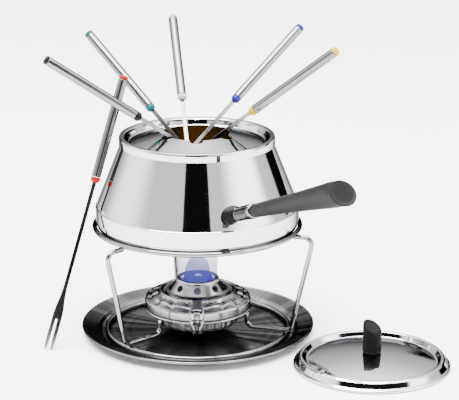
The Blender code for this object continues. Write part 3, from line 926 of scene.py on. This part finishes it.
def make_cone(steel):
    """The cone over the wadding, with a ring of air holes and a rolled mouth."""
    top = CONE_HIGH.z
    skin = [
        (31.4 * MM, 43.0 * MM),
        (28.6 * MM, 43.2 * MM),
        (27.6 * MM, 43.9 * MM),
        (21.6 * MM, top - 3.0 * MM),
        (21.1 * MM, top - 1.6 * MM),
        (21.1 * MM, top - 0.7 * MM),
        (20.4 * MM, top),
        (19.0 * MM, top - 0.1 * MM),
        (17.6 * MM, top - 0.8 * MM),
        (17.4 * MM, top - 2.4 * MM),
    ]
    skin = eased(skin, 0.8 * MM, 4)
    outline = skin + set_back(skin, -0.6 * MM)[::-1]
    cone = add("cone_pressing", turned_mesh(outline, 160), steel, 40)
    hole, hole_count, tilt = 3.6 * MM, 8, radians(33)
    drills = bmesh.new()
    for i in range(hole_count):
        azimuth = -90 + 360 / hole_count * i
        middle = polar(24.25 * MM, azimuth, 48.6 * MM)
        place = axis_frame(middle, polar(cos(tilt), azimuth, sin(tilt)))
        bmesh.ops.create_cone(
            drills, cap_ends=True, segments=32, radius1=hole, radius2=hole, depth=12 * MM, matrix=place
        )
    drill = add("cone_hole_tool", drills, steel, 32)
    cut = cone.modifiers.new("holes", "BOOLEAN")
    cut.operation, cut.object = "DIFFERENCE", drill
    graph = bpy.context.evaluated_depsgraph_get()
    mesh = bpy.data.meshes.new_from_object(cone.evaluated_get(graph))
    cone.modifiers.clear()
    cone.data = mesh
    mesh.set_sharp_from_angle(angle=radians(40))
    bpy.data.objects.remove(drill)
    dress(cone, "burner_cover", "burner_steel", "burner_cone")


def make_lever(steel):
    """The regulator's tongue: an arched hood over the cover's side, with a groove down it and two prongs."""
    reach, low, high = -LEVER_LOW.y, LEVER_LOW.z, LEVER_HIGH.z
    spine = eased(
        [
            (37.0 * MM, high - 2.0 * MM),
            (41.0 * MM, high - 2.3 * MM),
            (46.0 * MM, high - 4.9 * MM),
            (52.4 * MM, high - 6.6 * MM),
            (reach - 1.7 * MM, 36.5 * MM),
            (reach - 1.5 * MM, 31 * MM),
            (reach - 1.5 * MM, 25 * MM),
        ],
        3 * MM,
        6,
    )
    bm = bmesh.new()
    rows = []
    half_count = 12
    for index, (r, z) in enumerate(spine):
        t = index / (len(spine) - 1)
        half = (4.4 + 2.4 * min(1.0, t * 1.9)) * MM
        forward = min(1.0, t * 1.4)  # the arch stands up at the root and forwards at the tip
        row = []
        for k in range(-half_count, half_count + 1):
            s = k / half_count
            crown = 1.4 * MM * (1 - abs(s) ** 3)
            groove = 1.5 * MM * max(0.0, 1 - abs(s * 2.3) ** 4) * ramp(t * 3, 1.4, 2.4)
            y = -(r + (crown - groove) * forward)
            row.append(bm.verts.new((s * half, y, z + crown * (1 - forward))))
        rows.append(row)
    for a, b in zip(rows, rows[1:]):
        for k in range(2 * half_count):
            bm.faces.new([a[k], a[k + 1], b[k + 1], b[k]])
    hood = add("tongue_hood", bm, steel, 50)
    solid = hood.modifiers.new("thickness", "SOLIDIFY")
    solid.thickness, solid.offset = 0.8 * MM, -1
    dress(hood, "regulator", "burner_steel", "regulator_lever")
    for number, side in ((1, -1), (2, 1)):
        places = (
            (5.6 * MM, reach - 2.2 * MM, 30 * MM),
            (4.9 * MM, reach - 1.9 * MM, 24 * MM),
            (3.2 * MM, reach - 2.0 * MM, 20 * MM),
            (2.8 * MM, reach - 2.0 * MM, low),
        )
        path = bend([(side * x, -y, z) for x, y, z in places], 4 * MM, 6)
        prong = add(f"tongue_prong_{number}", swept_mesh(path, 1.7 * MM, 16), steel, 60)
        dress(prong, "regulator", "burner_steel", "regulator_lever")


def make_burner(steel, fibres):
    make_bowl(steel)
    make_cover(steel)
    make_cone(steel)
    make_lever(steel)
    repaint("burner_fuel_cup", steel)
    repaint("regulator_ring", steel)
    repaint("burner_wadding", fibres)


def make_flame():
    """A wide skin and a narrower one inside it, from the cone's mouth up to short of the pot."""
    low, high = CONE_HIGH.z - 6 * MM, BASE_LOW.z - 19 * MM
    glow = flame_glow(low, high)
    for index, (foot, waist, tip) in enumerate(((17, 20, 18), (10, 13, 8))):
        top = high - 4 * MM * index
        outline = [
            (0, low),
            (foot * MM, low),
            (waist * MM, low + (high - low) * 0.35),
            (tip * MM, top - 2 * MM),
            (0, top),
        ]

        def waver(r, z, angle, index=index):
            share = (z - low) / (high - low)
            return r * (1 + 0.10 * share * sin(5 * angle + 9 * share + index) + 0.05 * sin(3 * angle)), z

        flame = add(f"flame_{index + 1}", turned_mesh(eased(outline, 12 * MM, 8), 96, waver), glow, 80)
        flame.visible_shadow = False
        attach(flame, "burner_cover")


# ---------------------------------------------------------------- lid


def make_lid_plate(steel):
    """A rolled edge, a raised rim and a low dome."""
    radius = LID_HIGH.x - LID_CENTRE.x
    dome_radius, dome_top, dome_rise, step = 60, 12.2, 7.8, 5  # millimetres
    skin = [
        (radius, 0.6 * MM),
        (radius, 1.8 * MM),
        (radius - 0.8 * MM, 2.7 * MM),
        (radius - 2.2 * MM, 3.4 * MM),
        (69.2 * MM, 8.0 * MM),
        (67.8 * MM, 9.3 * MM),
        (66.4 * MM, 9.6 * MM),
        (64.9 * MM, 9.0 * MM),
        (63.4 * MM, 6.4 * MM),
        (62.4 * MM, 4.7 * MM),
        (60.4 * MM, 4.3 * MM),
    ]
    for r in range(dome_radius - step, -1, -step):
        skin.append((r * MM, (dome_top - dome_rise * (r / dome_radius) ** 2) * MM))
    skin = eased(skin, 1.5 * MM, 5)
    outline = skin + set_back(skin, -0.75 * MM)[::-1]
    plate = add("lid_pressing", turned_mesh(outline), steel, 50)
    plate.location = (LID_CENTRE.x, LID_CENTRE.y, 0)
    dress(plate, "lid", "polished_steel", "lid_plate")


def make_knob(stuff, cut_stuff):
    """An upright round bar, cut on the slant."""
    radius, height = (KNOB_HIGH.x - KNOB_LOW.x) / 2, KNOB_HIGH.z - KNOB_LOW.z
    upright = [
        (radius - 1.6 * MM, 0),
        (radius - 0.5 * MM, 0.3 * MM),
        (radius, 1.4 * MM),
        (radius, 8 * MM),
        (radius, 12 * MM),
    ]
    slanted = [
        (radius, height),
        (radius - 0.35 * MM, height + 0.45 * MM),
        (radius - 1.1 * MM, height + 0.5 * MM),
        (radius - 2.4 * MM, height + 0.1 * MM),
    ]
    sides = 64
    bm = bmesh.new()
    loops = []
    for r, z in upright + slanted:
        ring = [polar(r, 360 * i / sides, z) for i in range(sides)]
        if z >= height:
            for point in ring:
                point.z -= 5.6 * MM + KNOB_SLANT * (point.x - point.y)
        loops.append([bm.verts.new(point) for point in ring])
    for low, high in zip(loops, loops[1:]):
        for i in range(sides):
            j = (i + 1) % sides
            bm.faces.new([low[i], low[j], high[j], high[i]])
    bm.faces.new(loops[0][::-1])
    bm.faces.new(loops[-1])
    knob = add("knob_body", bm, stuff, 50)
    cut_end(knob, cut_stuff)
    knob.location = (LID_CENTRE.x, LID_CENTRE.y, KNOB_LOW.z)
    dress(knob, "lid", "dark_phenolic", "lid_knob")


def make_lid(steel, knob_stuff, cut_stuff):
    make_lid_plate(steel)
    make_knob(knob_stuff, cut_stuff)
    repaint("lid_knob_screw", steel)


# ---------------------------------------------------------------- table, light and camera


def make_table():
    """A plain pale disc, wide enough that its edge stays out of low views."""
    bm = bmesh.new()
    bmesh.ops.create_circle(bm, cap_ends=True, segments=96, radius=9.0)
    finish = Finish("pale table", Roughness=0.9, Specular_IOR_Level=0.1)
    finish.set("Base Color", finish.mix(finish.noise(finish.place(), 3, 2), grey(0.95), grey(0.98)))
    table = add("table", bm, finish.material, 32)
    table.location.z = -0.5 * MM


def make_world():
    """A bright room with dark gaps between its panels, so that polished steel has something to mirror."""
    world = bpy.data.worlds.new("studio")
    bpy.context.scene.world = world
    world.use_nodes = True
    finish = Finish("studio", tree=world.node_tree)
    x, y, z = finish.split(finish.node("ShaderNodeTexCoord")("Generated"))
    turn = finish.node("ShaderNodeMath", {"operation": "ARCTAN2"}, {0: x, 1: 0 - y})(0)
    back_turn = 0 - turn
    aside = (turn * turn) ** 0.5
    # Dark: a strip in front, low gaps behind on both sides, and a canopy in front overhead
    strip = (1 - aside.smooth(0.27, 0.30)) * z.smooth(-0.02, 0.02)
    gap_right = turn.smooth(2.02, 2.12) * (1 - turn.smooth(2.90, 2.98))
    gap_left = back_turn.smooth(2.40, 2.52) * (1 - back_turn.smooth(2.90, 2.98))
    low = 1 - z.smooth(0.24, 0.34)
    canopy = z.smooth(0.50, 0.55) * (1 - z.smooth(0.74, 0.80)) * (1 - aside.smooth(0.95, 1.20))
    dark = strip + (gap_right + gap_left) * low + canopy
    # Bright: a panel on each side and one overhead
    panel_right = turn.smooth(0.55, 1.10) * (1 - turn.smooth(1.40, 1.75))
    panel_left = back_turn.smooth(1.00, 1.55) * (1 - back_turn.smooth(1.85, 2.30))
    panels = 1.5 + panel_right * 5.5 + panel_left * 2.4 + z.smooth(0.45, 0.95) * 3.0
    shade = panels * (1 - dark.smooth(0.0, 1.0) * 0.995)
    colour = finish.node("ShaderNodeCombineColor", None, {0: shade, 1: shade, 2: shade * 1.01})(0)
    finish.feed(world.node_tree.nodes["Background"].inputs["Color"], colour)


def soft_light(name, place, size, power):
    """A square panel of light, aimed at the set."""
    data = bpy.data.lights.new(name, "AREA")
    data.shape, data.size, data.energy = "SQUARE", size, power
    lamp = bpy.data.objects.new(name, data)
    lamp.location = place
    target = Vector((0, 0, 0.12))
    lamp.rotation_euler = (target - Vector(place)).to_track_quat("-Z", "Y").to_euler()
    bpy.context.scene.collection.objects.link(lamp)


def make_camera():
    data = bpy.data.cameras.new("camera")
    data.lens = 142.3
    data.sensor_width = 36
    camera = bpy.data.objects.new("camera", data)
    camera.location = (0.0314, -1.700, 0.632)
    camera.rotation_euler = (radians(90 - 16.31), 0, 0)
    bpy.context.scene.collection.objects.link(camera)
    bpy.context.scene.camera = camera


def main():
    steel = polished_steel("polished steel")
    grip = dark_moulding("dark moulded grip", 0.0048, 0.09)
    knob = dark_moulding("black moulded knob", 0.0018, 0.05)
    cut = cut_face()
    tray_steel = turned_steel("brushed tray steel", 0.24, 0.17, 2600, streaks=0.9, flange_painted_shade=0.45)
    make_tray(tray_steel)
    make_stand(bright_wire())
    make_pot(steel, pot_inside(), turned_steel("brushed pot base", 0.34, 0.30, 1500))
    make_guard(steel)
    make_handle(grip, knob, cut, drawn_steel("ferrule steel", 0.24, 0.16))
    bar_steel = drawn_steel("fork bar steel", 0.20, 0.15, 60)
    tube_steel = drawn_steel("fork tube steel", 0.19, 0.13)
    for colour, shade in FORK_PLASTICS.items():
        make_fork(colour, coloured_plastic(f"{colour} marker", shade), bar_steel, tube_steel)
    make_burner(turned_steel("burner satin steel", 0.29, 0.12, 1800), wadding())
    make_flame()
    make_lid(polished_steel("polished lid"), knob, cut)
    make_table()
    make_world()
    soft_light("overhead", (-0.3, -0.5, 2.6), 2.4, 400)
    make_camera()


main()
